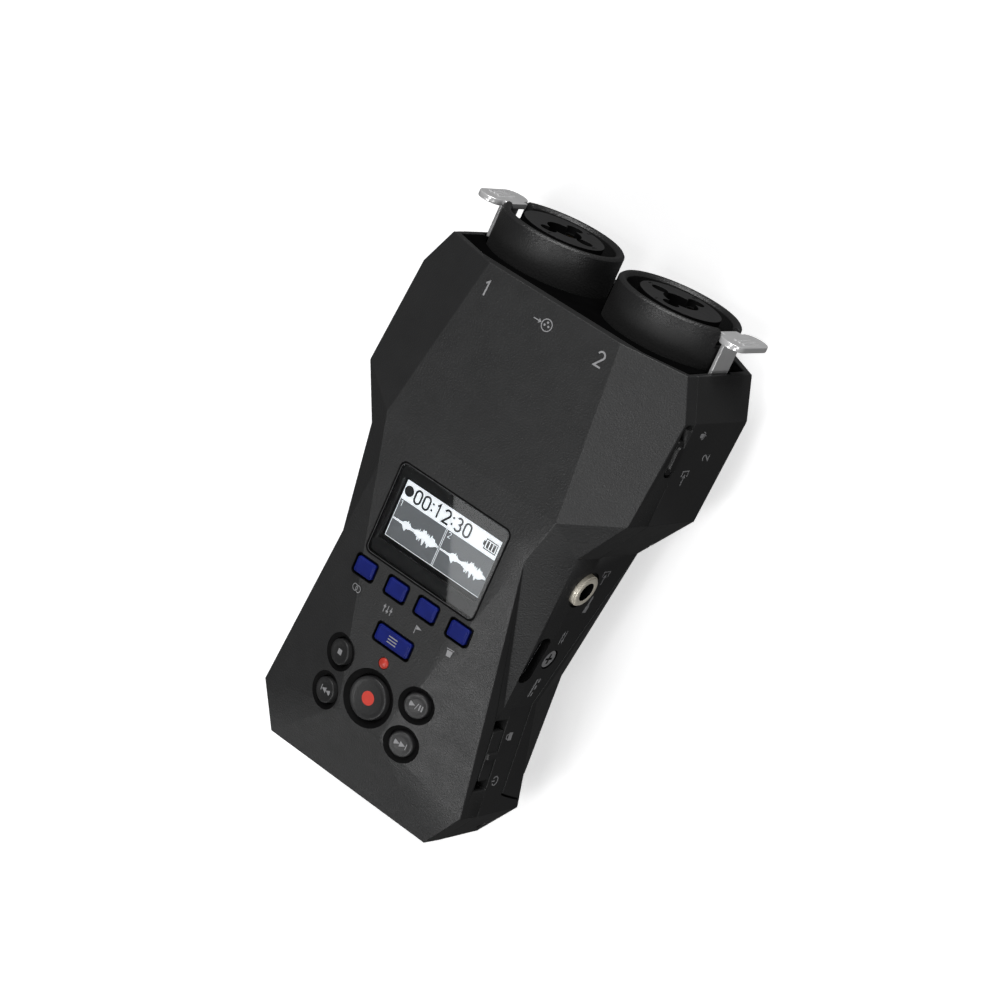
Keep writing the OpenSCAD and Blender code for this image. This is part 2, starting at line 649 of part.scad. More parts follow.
module tripod_insert() color([0.75, 0.6, 0.3]) translate([0, tripod_y, 0]) difference() {
    translate([0, 0, 0.3]) cylinder(h = tripod_depth - 0.3, r = 4);
    translate([0, 0, -1]) cylinder(h = tripod_depth, r = tripod_r);
}
module speaker() color([0.3, 0.3, 0.32]) translate([0, speaker_y, wall + 0.05]) {
    cylinder(h = 1.4, r = speaker_r);
    cylinder(h = 2.8, r = speaker_r - 1.8);
}

// Fasteners: pan heads with a cross recess
module screw(head_r, head_h, shank_r, length) {
    difference() {
        translate([0, 0, -head_h]) cylinder(h = head_h, r = head_r);
        for (a = [0, 90]) rotate([0, 0, a])
            translate([-head_r * 0.6, -head_r * 0.12, -head_h - 1])
                cube([head_r * 1.2, head_r * 0.24, 1 + head_h * 0.5]);
    }
    cylinder(h = length, r = shank_r);
}
module case_screws() color([0.15, 0.15, 0.16])
    for (p = screw_places) both_sides() translate([p.x, p.y, p.z]) screw(1.9, 1.3, 1, 28 - p.z);
module side_screw() color([0.55, 0.55, 0.57]) at_waist(side_screw_y, side_screw_z)
    translate([-0.9, 0, 0]) rotate([0, -90, 0]) screw(1.75, 0.7, 0.9, 3.9);
module board_screws() color([0.55, 0.55, 0.57])
    for (p = board_screw_places) both_sides()
        translate([p.x, p.y, board_z]) screw(1.5, 0.9, 0.8, p.y > 0 ? 3.2 : 1.5);

// Battery bay: contact plates, springs and two cells laid head to tail
cell_end = cell_y0 + cell_len;
module contact_plates() color([0.7, 0.7, 0.72])
    for (y = [cell_y0 - 1.65, cell_end + 1.25], s = [-1, 1])
        span([s * cell_x - 5.5, y, cell_z - 5.5], [s * cell_x + 5.5, y + 0.4, cell_z + 5.5]);
module battery_springs() color([0.7, 0.7, 0.72])
    for (s = [-1, 1]) translate([s * cell_x, s > 0 ? cell_y0 - 1.24 : cell_end + 0.01, cell_z])
        for (i = [0:2]) translate([0, 0.28 + i * 0.34, 0]) rotate([-90, 0, 0])
            rotate_extrude() translate([2.6 - i * 0.5, 0]) circle(0.26);
module cell() {
    along_y(cell_r, 0, cell_len);
    along_y(2.75, cell_len - 1, cell_len + 1);
}
module battery_cell_1() color([0.55, 0.57, 0.6]) translate([cell_x, cell_y0, cell_z]) cell();
module battery_cell_2() color([0.55, 0.57, 0.6])
    translate([-cell_x, cell_end, cell_z]) mirror([0, 1, 0]) cell();

front_cover();
rear_cover();
end_plate();
battery_door();
door_hinge_pin();
display_window();
lcd_panel();
lcd_holder();
main_board();
input_board();
soft_key_1();
soft_key_2();
soft_key_3();
soft_key_4();
menu_key();
record_key();
stop_key();
rewind_key();
play_key();
forward_key();
tact_switches();
record_light();
xlr_housing_1();
xlr_housing_2();
xlr_insert_1();
xlr_insert_2();
xlr_contacts_1();
xlr_contacts_2();
release_lever_1();
release_lever_2();
lever_spring_1();
lever_spring_2();
input_slider_1();
input_slider_2();
input_switch_1();
input_switch_2();
line_in_jack();
line_in_bush();
headphone_jack();
headphone_bush();
usb_port();
power_slider();
power_switch();
volume_rocker();
volume_switch();
card_socket();
card_cover();
tripod_insert();
case_screws();
side_screw();
board_screws();
contact_plates();
battery_springs();
battery_cell_1();
battery_cell_2();
speaker();
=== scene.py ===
"""Looks of the portable field recorder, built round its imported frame.

Tables and drawings are in millimetres; MM turns them into the metres that Blender and the frame use.
"""
import math
import random

import bmesh
import bpy
from mathutils import Matrix, Vector
from mathutils.bvhtree import BVHTree


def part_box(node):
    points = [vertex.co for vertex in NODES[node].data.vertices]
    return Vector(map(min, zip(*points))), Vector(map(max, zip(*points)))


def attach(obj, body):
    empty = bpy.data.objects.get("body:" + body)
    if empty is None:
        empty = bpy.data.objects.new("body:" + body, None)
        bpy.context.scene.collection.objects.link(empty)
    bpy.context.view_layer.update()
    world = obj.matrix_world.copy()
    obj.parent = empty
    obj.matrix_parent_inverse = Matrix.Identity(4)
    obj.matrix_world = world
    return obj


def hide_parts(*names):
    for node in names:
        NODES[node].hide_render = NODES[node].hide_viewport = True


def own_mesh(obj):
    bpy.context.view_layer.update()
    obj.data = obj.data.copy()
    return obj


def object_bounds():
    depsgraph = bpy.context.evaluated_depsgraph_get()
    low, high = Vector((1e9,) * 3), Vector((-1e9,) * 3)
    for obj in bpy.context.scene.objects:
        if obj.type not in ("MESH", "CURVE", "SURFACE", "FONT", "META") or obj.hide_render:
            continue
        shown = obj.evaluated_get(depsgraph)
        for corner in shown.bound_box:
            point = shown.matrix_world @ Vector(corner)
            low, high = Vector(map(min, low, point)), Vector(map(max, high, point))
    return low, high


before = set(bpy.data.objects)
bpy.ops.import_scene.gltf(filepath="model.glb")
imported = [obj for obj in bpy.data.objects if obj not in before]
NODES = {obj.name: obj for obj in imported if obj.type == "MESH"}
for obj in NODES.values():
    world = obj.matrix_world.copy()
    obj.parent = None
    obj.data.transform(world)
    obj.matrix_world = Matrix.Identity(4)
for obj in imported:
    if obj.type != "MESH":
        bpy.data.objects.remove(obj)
cad_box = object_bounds()
MM = 0.001


# Small helpers ---------------------------------------------------------------

def link(name, data):
    piece = bpy.data.objects.new(name, data)
    bpy.context.scene.collection.objects.link(piece)
    return piece


def from_bmesh(name, bm, material):
    bmesh.ops.recalc_face_normals(bm, faces=bm.faces)
    mesh = bpy.data.meshes.new(name)
    bm.to_mesh(mesh)
    bm.free()
    mesh.materials.append(material)
    return link(name, mesh)


def place(piece, body, slot, *replaced):
    """Hangs a finished piece on its body and hides the CAD parts it replaces."""
    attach(piece, body)
    if replaced:
        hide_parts(*replaced)
    return piece


def mid(node):
    low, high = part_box(node)
    return (low + high) / 2


# Camera and light ------------------------------------------------------------

# The camera looks at a point inside the case from that azimuth, elevation and distance, and is rolled
AIM = Vector((-0.98, 5.23, 20))
AZIMUTH, ELEVATION, ROLL = (math.radians(angle) for angle in (34.12, 57.4, -95.195))
DISTANCE = 575.25

camera = link("camera", bpy.data.cameras.new("camera"))
camera.data.sensor_width = 36
camera.data.lens = 118.37
camera.data.clip_start = 0.01
turn = (Matrix.Rotation(AZIMUTH + math.pi / 2, 4, "Z") @ Matrix.Rotation(math.pi / 2 - ELEVATION, 4, "X")
        @ Matrix.Rotation(ROLL, 4, "Z"))
camera.matrix_world = Matrix.Translation(AIM * MM) @ turn @ Matrix.Translation((0, 0, DISTANCE * MM))
bpy.context.scene.camera = camera
bpy.context.scene.view_settings.view_transform = "Standard"

# Distance of the softboxes from a point at half the object's height, in metres
LIGHT_DISTANCE = 1.3
LIGHT_CENTRE = Vector((0, 0, 0.02))


def softbox(name, direction, irradiance, size):
    """A square area light that gives the object this irradiance from that direction."""
    data = bpy.data.lights.new(name, "AREA")
    data.size = size
    data.energy = irradiance * math.pi * LIGHT_DISTANCE ** 2
    away = Vector(direction).normalized()
    link(name, data).matrix_world = (Matrix.Translation(away * LIGHT_DISTANCE + LIGHT_CENTRE)
                                     @ away.to_track_quat("Z", "Y").to_matrix().to_4x4())


# Lights from the connector end, and small cards that the sloping panels pick up as sheen
softbox("end_low", (0.17, 0.98, 0.14), 1.45, 0.5)
softbox("end_high", (-0.1, 0.82, 0.57), 1.35, 0.5)
softbox("front_card", (0, -0.44, 0.9), 0.68, 0.3)
softbox("chin_card", (0, -0.64, 0.77), 0.2, 0.3)
softbox("right_card", (0.74, -0.33, 0.59), 0.41, 0.3)
softbox("top_card", (0.21, 0, 0.98), 0.36, 0.3)
softbox("side", (0.93, 0, 0.37), 0.25, 0.4)
softbox("left_low", (-0.5, -0.86, 0.14), 0.15, 0.4)

# The world lights softly, and is plain and bright where the camera sees it past the floor
AMBIENT, BACKDROP = 0.06, 1.0
world = bpy.data.worlds.new("studio")
bpy.context.scene.world = world
world.use_nodes = True
nodes, links = world.node_tree.nodes, world.node_tree.links
choose = nodes.new("ShaderNodeMixShader")
for socket, background, strength in ((1, nodes["Background"], AMBIENT),
                                     (2, nodes.new("ShaderNodeBackground"), BACKDROP)):
    background.inputs["Strength"].default_value = strength
    background.inputs["Color"].default_value = (1, 1, 1, 1)
    links.new(background.outputs["Background"], choose.inputs[socket])
links.new(nodes.new("ShaderNodeLightPath").outputs["Is Camera Ray"], choose.inputs["Fac"])
links.new(choose.outputs["Shader"], nodes["World Output"].inputs["Surface"])


# Materials -------------------------------------------------------------------

class Finish:
    """A procedural material: colour and roughness that vary a little, over a bumpy grain."""

    def __init__(self, name, colour, rough, **sockets):
        self.material = bpy.data.materials.new(name)
        self.material.use_nodes = True
        self.tree = self.material.node_tree
        self.shader = self.tree.nodes["Principled BSDF"]
        self.place = self.add("TexCoord").outputs["Object"]
        self.colour, self.rough = colour, rough
        for socket, value in {"Base_Color": (*colour, 1), "Roughness": rough, **sockets}.items():
            self.shader.inputs[socket.replace("_", " ")].default_value = value

    def add(self, kind, links=(), **settings):
        """A shader node. Settings with a capital are its sockets, the others its own properties."""
        made = self.tree.nodes.new("ShaderNode" + kind)
        for key, value in settings.items():
            if key[0].isupper():
                made.inputs[key.replace("_", " ")].default_value = value
            else:
                setattr(made, key, value)
        for socket, source in dict(links).items():
            self.tree.links.new(source, made.inputs[socket])
        return made

    def drive(self, socket, source):
        self.tree.links.new(source, self.shader.inputs[socket])
        return self

    def tint(self, k):
        """The own colour times k, as a ramp wants it."""
        return (*(min(1, c * k) for c in self.colour), 1)

    def noise(self, size_mm, detail=2.0, stretch=None):
        """Noise whose features are about size_mm across; stretch squeezes the coordinates per axis."""
        place = self.place
        if stretch:
            place = self.add("Mapping", {"Vector": place}, Scale=stretch).outputs["Vector"]
        return self.add("TexNoise", {"Vector": place}, Scale=1 / (size_mm * MM), Detail=detail).outputs["Fac"]

    def along_y(self, start_mm, end_mm, low=0.0, high=1.0):
        """A value that runs from low at start to high at end."""
        y = self.add("SeparateXYZ", {"Vector": self.place}).outputs["Y"]
        return self.add("MapRange", {"Value": y}, From_Min=start_mm * MM, From_Max=end_mm * MM,
                        To_Min=low, To_Max=high).outputs["Result"]

    def mottle(self, size_mm, amount):
        """Varies the colour about its mean."""
        ramp = self.add("ValToRGB", {"Fac": self.noise(size_mm)})
        for stop, position, k in zip(ramp.color_ramp.elements, (0.35, 0.65), (1 - amount, 1 + amount)):
            stop.position, stop.color = position, self.tint(k)
        return self.drive("Base Color", ramp.outputs["Color"])

    def smear(self, size_mm, amount):
        """Varies the roughness about its mean."""
        spread = self.add("MapRange", {"Value": self.noise(size_mm, 3)}, From_Min=0.3, From_Max=0.7,
                          To_Min=max(0.02, self.rough - amount), To_Max=min(1, self.rough + amount))
        return self.drive("Roughness", spread.outputs["Result"])

    def painted_shade_along_y(self, start_mm, end_mm, dark, rough):
        """Runs from the own colour and roughness at start to a dark share and a roughness at end; the
        darkening is painted shade.
        """
        ramp = self.add("ValToRGB", {"Fac": self.along_y(start_mm, end_mm)})
        for stop, k in zip(ramp.color_ramp.elements, (1, dark)):
            stop.color = self.tint(k)
        self.drive("Base Color", ramp.outputs["Color"])
        return self.drive("Roughness", self.along_y(start_mm, end_mm, self.rough, rough))

    def bands_along_y(self, start_mm, end_mm, bands):
        """Paints rings of colour, each from its share of the way between start and end."""
        ramp = self.add("ValToRGB", {"Fac": self.along_y(start_mm, end_mm)})
        stops = ramp.color_ramp
        stops.interpolation = "CONSTANT"
        for i, (position, colour) in enumerate(bands):
            stop = stops.elements[i] if i < 2 else stops.elements.new(position)
            stop.position, stop.color = position, (*colour, 1)
        return self.drive("Base Color", ramp.outputs["Color"])

    def grain(self, size_mm, depth_mm, stretch=None):
        """Raises a grain of that size and depth."""
        height = self.noise(size_mm, 2, stretch)
        bump = self.add("Bump", {"Height": height}, Strength=1.0, Distance=depth_mm * MM)
        return self.drive("Normal", bump.outputs["Normal"])


# Plastics of the case
shell_front = Finish("shell_front", (0.025, 0.0252, 0.0256), 0.45)
shell_front.mottle(9, 0.05).smear(3, 0.04).grain(0.3, 0.075)
shell_rear = Finish("shell_rear", (0.022, 0.0222, 0.0226), 0.47)
shell_rear.mottle(9, 0.05).smear(3, 0.04).grain(0.32, 0.04)
black = Finish("black_plastic", (0.011, 0.011, 0.0113), 0.45).mottle(4, 0.1).smear(2, 0.06).grain(0.3, 0.02)
barrel = Finish("barrel_plastic", (0.021, 0.021, 0.0213), 0.36)
# The barrels darken towards their base: painted shade, and they are rougher there
barrel.painted_shade_along_y(50.5, 46, 0.1, 0.9).grain(0.28, 0.1)
# Near-black plate at the connector end: dark plastic, darkened further as painted shade between the barrels
# and the rim
plate_dark_and_shade = Finish("plate_dark_and_shade", (0.003, 0.003, 0.0031), 0.75, Specular_IOR_Level=0.0)
plate_dark_and_shade.mottle(4, 0.1).smear(2, 0.05)
insert = Finish("insert_plastic", (0.024, 0.024, 0.0245), 0.5)
insert.mottle(3, 0.06).smear(2, 0.05).grain(0.3, 0.015)
# Black for painted shade in holes, gaps, dishes and the screw's cross, and for the numbers printed by the
# contacts
black_print_and_shade = Finish("black_print_and_shade", (0.002, 0.002, 0.0021), 0.7, Specular_IOR_Level=0.12)
black_print_and_shade.smear(2, 0.06).mottle(3, 0.2)

# Keys, prints and the light
blue = Finish("blue_key", (0.006, 0.014, 0.165), 0.5, Specular_IOR_Level=0.2, Subsurface_Weight=0.15,
              Subsurface_Radius=(0.0003, 0.0003, 0.001)).mottle(2.5, 0.08).smear(2, 0.05).grain(0.5, 0.01)
key_dark = Finish("key_dark", (0.02, 0.02, 0.0205), 0.47).mottle(5, 0.06).smear(2, 0.05).grain(0.42, 0.03)
print_grey = Finish("print_grey", (0.33, 0.33, 0.34), 0.6).mottle(1.5, 0.06).smear(1, 0.05)
# The red print of the record dot glows faintly: painted light
red = Finish("red_print_glow", (0.55, 0.045, 0.03), 0.45, Emission_Strength=0.12,
             Emission_Color=(1, 0.08, 0.05, 1)).mottle(1, 0.05).smear(1, 0.05)
lens_red = Finish("red_lens", (0.42, 0.03, 0.02), 0.35, Emission_Strength=0.14,
                  Emission_Color=(1, 0.12, 0.08, 1)).smear(1, 0.05).mottle(0.8, 0.15)

# Metals
chrome = Finish("chrome", (0.9, 0.9, 0.905), 0.22, Metallic=0.45).mottle(3, 0.02).smear(2.5, 0.05)
steel = Finish("steel", (0.6, 0.6, 0.61), 0.33, Metallic=0.5)
steel.mottle(2, 0.08).smear(0.6, 0.08).grain(0.4, 0.006, stretch=(1, 0.2, 1))
# Dark steel of the case screws, and of the USB port, where the darkness is painted shade of its opening
dark_steel_and_shade = Finish("dark_steel_and_shade", (0.13, 0.13, 0.135), 0.35, Metallic=1.0).mottle(2, 0.1).smear(0.8, 0.08)
# Gold of the contacts, darkened as painted shade deep in their holes
gold_painted_shade = Finish("gold_painted_shade", (0.3, 0.2, 0.07), 0.3, Metallic=1.0).mottle(1, 0.06).smear(0.5, 0.06)
# Metal of the socket bushes, with a faint glow of painted light
warm_metal_glow = Finish("warm_metal_glow", (0.86, 0.81, 0.7), 0.3, Metallic=0.2, Emission_Strength=0.04,
                    Emission_Color=(1, 0.9, 0.7, 1)).mottle(3, 0.03).smear(2, 0.04)
brass = Finish("brass", (0.7, 0.5, 0.2), 0.3, Metallic=1.0).mottle(1.5, 0.08).smear(0.8, 0.08)

# Display
glass = Finish("glass", (0.93, 0.95, 0.96), 0.01, Transmission_Weight=1.0, IOR=1.5)
mask_black = Finish("mask_black", (0.003, 0.003, 0.0033), 0.3).mottle(3, 0.1)
edge_shine = Finish("edge_shine", (0.075, 0.076, 0.078), 0.25).mottle(2, 0.1).smear(2, 0.05)
backlight = Finish("backlight", (0.8, 0.84, 0.86), 0.3, Emission_Strength=0.78,
                   Emission_Color=(0.96, 0.98, 1.0, 1)).mottle(5, 0.02)
lcd_grey = Finish("lcd_grey", (0.1, 0.105, 0.11), 0.3, Emission_Strength=0.1,
                  Emission_Color=(0.9, 0.95, 1, 1)).mottle(5, 0.05)
lcd_dark = Finish("lcd_dark", (0.03, 0.03, 0.033), 0.3).mottle(2, 0.1)

# Inside
board = Finish("solder_mask", (0.01, 0.075, 0.03), 0.3).mottle(2, 0.25).smear(2, 0.08)
cone = Finish("speaker_cone", (0.02, 0.02, 0.02), 0.6).mottle(1, 0.2).grain(0.4, 0.03)


# Printed marks ---------------------------------------------------------------
# A shape is ("fill", outline) or ("ribbon", [(left, right), ...], closed), in millimetres on a plane.

def fill(*outline):
    return ("fill", [Vector(p) for p in outline])


def ribbon(points, width, closed=False):
    points = [Vector(p) for p in points]
    count, sides = len(points), []
    for i, p in enumerate(points):
        before = p - points[i - 1] if i or closed else points[1] - p
        after = points[(i + 1) % count] - p if i < count - 1 or closed else before
        n1 = Vector((-before.y, before.x)).normalized()
        n2 = Vector((-after.y, after.x)).normalized()
        mitre = (n1 + n2).normalized()
        reach = width / 2 / max(0.45, mitre.dot(n1))
        sides.append((p + mitre * reach, p - mitre * reach))
    return ("ribbon", sides, closed)


def arc(x, y, r, start, end, steps=16):
    turns = [math.radians(start + (end - start) * i / steps) for i in range(steps + 1)]
    return [(x + r * math.cos(a), y + r * math.sin(a)) for a in turns]


def circle(x, y, r, width, steps=32):
    return ribbon(arc(x, y, r, 0, 360 - 360 / steps, steps - 1), width, True)


def disc(x, y, r, steps=32):
    return fill(*arc(x, y, r, 0, 360 - 360 / steps, steps - 1))


def rect(x0, y0, x1, y1):
    return fill((x0, y0), (x1, y0), (x1, y1), (x0, y1))


def moved(shapes, dx=0.0, dy=0.0, scale=1.0, turn=0.0):
    spin = Matrix.Rotation(math.radians(turn), 2)
    shift = Vector((dx, dy))

    def to(p):
        return spin @ p * scale + shift

    out = []
    for shape in shapes:
        if shape[0] == "fill":
            out.append(("fill", [to(p) for p in shape[1]]))
        else:
            out.append(("ribbon", [(to(a), to(b)) for a, b in shape[1]], shape[2]))
    return out


def add_prism(bm, shape, matrix, low, high):
    """A shape as a closed solid from low to high above its plane, in millimetres."""
    def vert(p, z):
        return bm.verts.new(matrix @ (Vector((p.x, p.y, z)) * MM))

    if shape[0] == "fill":
        below, above = [[vert(p, z) for p in shape[1]] for z in (low, high)]
        bm.faces.new(above)
        bm.faces.new(below[::-1])
        for i in range(len(above)):
            bm.faces.new((below[i - 1], below[i], above[i], above[i - 1]))
        return
    rows = [(vert(a, low), vert(b, low), vert(b, high), vert(a, high)) for a, b in shape[1]]
    pairs = list(zip(rows, rows[1:]))
    if shape[2]:
        pairs.append((rows[-1], rows[0]))
    else:
        bm.faces.new(rows[0])
        bm.faces.new(rows[-1][::-1])
    for a, b in pairs:
        for i in range(4):
            bm.faces.new((a[i - 1], a[i], b[i], b[i - 1]))


def marks(name, items, material, low=-0.02, high=0.025):
    """One piece from several (matrix, shapes), each with its own low and high if it gives them."""
    bm = bmesh.new()
    for matrix, shapes, *heights in items:
        for shape in shapes:
            add_prism(bm, shape, matrix, *(heights or (low, high)))
    return from_bmesh(name, bm, material.material)


def rounded(x0, y0, x1, y1, r, steps=6):
    corners = [(x1 - r, y1 - r, 0), (x0 + r, y1 - r, 90), (x0 + r, y0 + r, 180), (x1 - r, y0 + r, 270)]
    return [p for x, y, a in corners for p in arc(x, y, r, a, a + 90, steps)]


def frame_shape(outer, inner):
    """A flat frame between two outlines with as many points each."""
    return ("ribbon", [(Vector(a), Vector(b)) for a, b in zip(outer, inner)], True)


trees = {}


def surface(node, point, toward, up):
    """Frame on a node's surface where a ray through point along toward meets it.

    Z is the normal, and Y points to up's side."""
    if node not in trees:
        mesh = NODES[node].data
        trees[node] = BVHTree.FromPolygons([v.co for v in mesh.vertices],
                                           [list(f.vertices) for f in mesh.polygons])
    toward = Vector(toward).normalized()
    spot, normal, _, _ = trees[node].ray_cast(Vector(point) - toward * 0.1, toward)
    if normal.dot(toward) > 0:
        normal = -normal
    y = (Vector(up) - Vector(up).dot(normal) * normal).normalized()
    x = y.cross(normal)
    return Matrix.Translation(spot) @ Matrix((x, y, normal)).transposed().to_4x4()


def on_front(x, y):
    return surface("front_cover", (x * MM, y * MM, 0), (0, 0, -1), (0, 1, 0))


# Digits as strokes in a box 1 wide and 1.7 high
DIGITS = {
    "0": [(arc(0.5, 1.2, 0.42, 0, 180, 10) + arc(0.5, 0.5, 0.42, 180, 360, 10), True)],
    "1": [([(0.2, 1.3), (0.5, 1.62), (0.5, 0.06)], False)],
    "2": [(arc(0.5, 1.22, 0.4, 165, -35, 12) + [(0.12, 0.1), (0.95, 0.1)], False)],
    "3": [(arc(0.48, 1.24, 0.36, 150, -75, 12) + arc(0.46, 0.5, 0.42, 70, -150, 12), False)],
}


def digits(text, height, width=0.16, step=1.32):
    """Strokes for a row of digits, centred on the origin."""
    shapes, x = [], 0.0
    for mark in text:
        if mark == ":":
            shapes += [rect(x + 0.02, y, x + 0.26, y + 0.24) for y in (0.35, 1.1)]
            x += step * 0.42
            continue
        for points, closed in DIGITS[mark]:
            shapes.append(ribbon([(x + px, py) for px, py in points], width, closed))
        x += step
    k = height / 1.7
    return moved(shapes, -(x - step + 1) / 2 * k, -height / 2, k)


# Bevelled skins --------------------------------------------------------------

# Faces larger than this, in square metres, are panels, and a slight crease between two of them is rounded too
BIG_FACE = 12 * MM * MM
LOW_ANGLE, PANEL_ANGLE = 25, 2
SLIVER = 0.01 * MM


def is_sliver(face):
    """True for a triangle too narrow for its normal to mean anything."""
    return 2 * face.calc_area() < SLIVER * max(e.calc_length() for e in face.edges)


def within(point, box):
    return all(low < p < high for low, p, high in zip(box[0], point, box[1]))


def skin(node, width_mm, body, slot, finish, segments=2, leave=(), inside=None):
    """A copy of a CAD node that stands for it, with rounded edges.

    Edges that run into one of the boxes in leave keep their shape.
    Faces whose centre and normal pass the test inside, in millimetres, are black, as painted shade deep in
    holes."""
    bm = bmesh.new()
    bm.from_mesh(NODES[node].data)
    bmesh.ops.remove_doubles(bm, verts=bm.verts, dist=2e-6)
    weight = bm.edges.layers.float.new("bevel_weight_edge")
    for edge in bm.edges:
        if len(edge.link_faces) == 2:
            turn = math.degrees(edge.calc_face_angle(0))
            big = min(f.calc_area() for f in edge.link_faces) > BIG_FACE
            if any(is_sliver(f) for f in edge.link_faces):
                edge.smooth = False
            elif any(within(v.co, box) for v in edge.verts for box in leave):
                edge.smooth = turn < LOW_ANGLE
            else:
                edge[weight] = float(turn > LOW_ANGLE or (big and turn > PANEL_ANGLE))
    for face in bm.faces:
        face.smooth = True
        face.material_index = int(inside is not None and inside(face.calc_center_median() / MM, face.normal))
    piece = from_bmesh(node + "_skin", bm, finish.material)
    if inside:
        piece.data.materials.append(black_print_and_shade.material)
    bevel = piece.modifiers.new("bevel", "BEVEL")
    bevel.width = width_mm * MM
    bevel.segments = segments
    bevel.limit_method = "WEIGHT"
    bevel.loop_slide = False
    bevel.use_clamp_overlap = False
    bevel.miter_outer = "MITER_SHARP"
    piece.modifiers.new("normals", "WEIGHTED_NORMAL").keep_sharp = True
    return place(piece, body, slot, node)


# Radius of each round key, and of the dish round it
SMALL_KEY = (2.35, 3.4)
ROUND_KEYS = {"record_key": (3.9, 5.25), "stop_key": SMALL_KEY, "rewind_key": SMALL_KEY,
              "play_key": SMALL_KEY, "forward_key": SMALL_KEY}
SOFT_KEYS = [f"soft_key_{i}" for i in (1, 2, 3, 4)]


def grown(nodes, by_mm):
    """The nodes' boxes, grown on all sides."""
    by = Vector((by_mm, by_mm, by_mm)) * MM
    return [(low - by, high + by) for low, high in map(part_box, nodes)]


SOCKETS = ("line_in_bush", "headphone_bush", "usb_port", "side_screw")
openings = grown(ROUND_KEYS, 0.8) + grown(SOFT_KEYS, 0.4) + grown(SOCKETS + (
    "menu_key", "display_window", "record_light", "power_slider", "volume_rocker", "card_cover",
    "input_slider_1", "input_slider_2", "tripod_insert", "speaker"), 0.6)
socket_boxes = grown(SOCKETS, 1.6)


def socket_wall(centre, normal):
    """True on the walls of the holes in the side that lead to a socket or the sunk screw."""
    return abs(normal.x) < 0.5 and any(within(centre * MM, box) for box in socket_boxes)


def below_face(node, drop_mm=0.3):
    """Test for everything that lies behind the end face of a node."""
    face_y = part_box(node)[1].y / MM - drop_mm
    return lambda centre, normal: centre.y < face_y


def bore_of(node, radius_mm):
    """Test for the wall of a bore through the side."""
    axis = mid(node) / MM

    def on_wall(centre, normal):
        return math.hypot(centre.y - axis.y, centre.z - axis.z) < radius_mm and abs(normal.x) < 0.5

    return on_wall


# The hole walls that lead to the sockets and the sunk screw are black: painted shade
skin("front_cover", 0.16, "case", "front_shell", shell_front, leave=openings, inside=socket_wall)
skin("rear_cover", 0.14, "case", "rear_shell", shell_rear, leave=openings, inside=socket_wall)
# The end plate's near-black is partly painted shade
skin("end_plate", 0.12, "case", "black_plastic", plate_dark_and_shade)
skin("battery_door", 0.14, "battery_door", "rear_shell", shell_rear)
skin("card_cover", 0.1, "card_cover", "rear_shell", shell_rear)
for i in (1, 2):
    skin(f"xlr_housing_{i}", 0.1, "case", "black_plastic", barrel)
    # The insert's contact holes are black inside: painted shade
    skin(f"xlr_insert_{i}", 0.08, "case", "insert_plastic", insert, inside=below_face(f"xlr_insert_{i}"))
    skin(f"release_lever_{i}", 0.18, f"release_lever_{i}", "lever_chrome", chrome, segments=3)
    skin(f"input_slider_{i}", 0.12, f"input_slider_{i}", "black_plastic", black)
for key in SOFT_KEYS + ["menu_key"]:
    skin(key, 0.1, key, "blue_key", blue)
skin("power_slider", 0.1, "power_slider", "black_plastic", shell_rear)
skin("volume_rocker", 0.15, "volume_rocker", "black_plastic", black)
# The bores of the bushes are black inside: painted shade
for node in ("line_in_bush", "headphone_bush"):
    skin(node, 0.08, "case", "bush_metal", warm_metal_glow, inside=bore_of(node, 2.1))
# The USB port's dark metal stands for painted shade in its opening
skin("usb_port", 0.04, "case", "switch_metal", dark_steel_and_shade)


# Turned pieces ---------------------------------------------------------------

def lathe(name, profile, matrix, finish, steps=96):
    """A profile of (radius, height) in millimetres turned round matrix's Z axis.

    It closes on the axis or on itself."""
    bm = bmesh.new()
    rows = []
    for k in range(steps):
        a = 2 * math.pi * k / steps
        rows.append([bm.verts.new(matrix @ (Vector((r * math.cos(a), r * math.sin(a), z)) * MM))
                     for r, z in profile])
    for k in range(steps):
        for i in range(len(profile)):
            j = (i + 1) % len(profile)
            if j == 0 and profile[0][0] < 1e-6 and profile[-1][0] < 1e-6:
                continue
            bm.faces.new((rows[k - 1][i], rows[k][i], rows[k][j], rows[k - 1][j]))
    bmesh.ops.remove_doubles(bm, verts=bm.verts, dist=1e-7)
    bmesh.ops.dissolve_degenerate(bm, edges=bm.edges, dist=1e-8)
    for face in bm.faces:
        face.smooth = True
    piece = from_bmesh(name, bm, finish.material)
    piece.modifiers.new("normals", "WEIGHTED_NORMAL").keep_sharp = False
    return piece


def key_top(node):
    """Frame on the middle of a key's top, with Y away from the user."""
    here = surface(node, mid(node), (0, 0, -1), (0, 1, 0))
    # The key's own axis runs through the middle of its top rim, not of its box
    rim = [p for p in (here.inverted() @ v.co for v in NODES[node].data.vertices) if p.z > -0.05 * MM]
    x, y = ((min(p[k] for p in rim) + max(p[k] for p in rim)) / 2 for k in (0, 1))
    return here @ Matrix.Translation((x, y, 0))


def shifted(matrix, z_mm):
    return matrix @ Matrix.Translation((0, 0, z_mm * MM))


